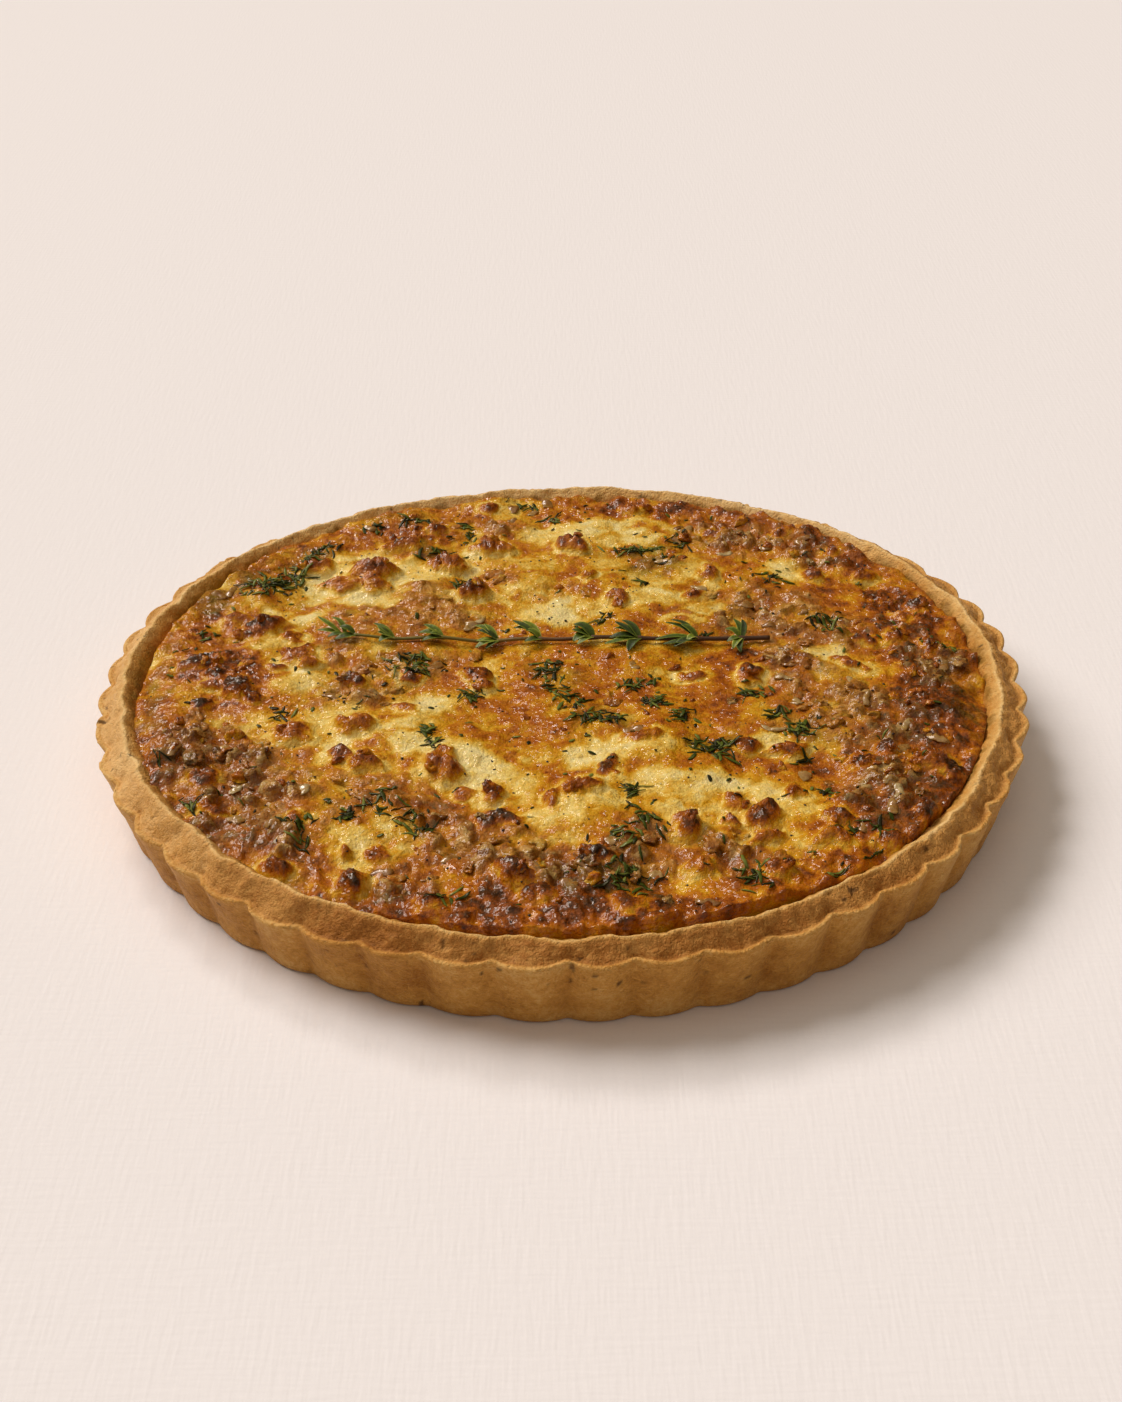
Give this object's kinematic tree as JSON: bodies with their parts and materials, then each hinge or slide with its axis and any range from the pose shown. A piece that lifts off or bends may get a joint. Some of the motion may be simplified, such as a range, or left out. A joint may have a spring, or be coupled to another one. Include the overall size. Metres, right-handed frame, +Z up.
{
  "type": "quiche",
  "caption": "Round baked quiche with a fluted shortcrust case, a browned cheese, sausage and herb filling, and a sprig of thyme on top",
  "frame": {"origin": "middle of the flat underside, on the table", "axes": "+Z up through the middle of the round; -Y is the side seen from the front, with the cut end of the thyme stem towards +X"},
  "size_m": [0.2812, 0.2772, 0.0312],
  "materials": {
    "pastry": "matte, baked golden brown",
    "filling": "moist, lightly oiled",
    "thyme": "satin leaf"
  },
  "bodies": {
    "root": {"pastry_case": "pastry", "filling": "filling", "thyme_sprig": "thyme"}
  },
  "joints": []
}
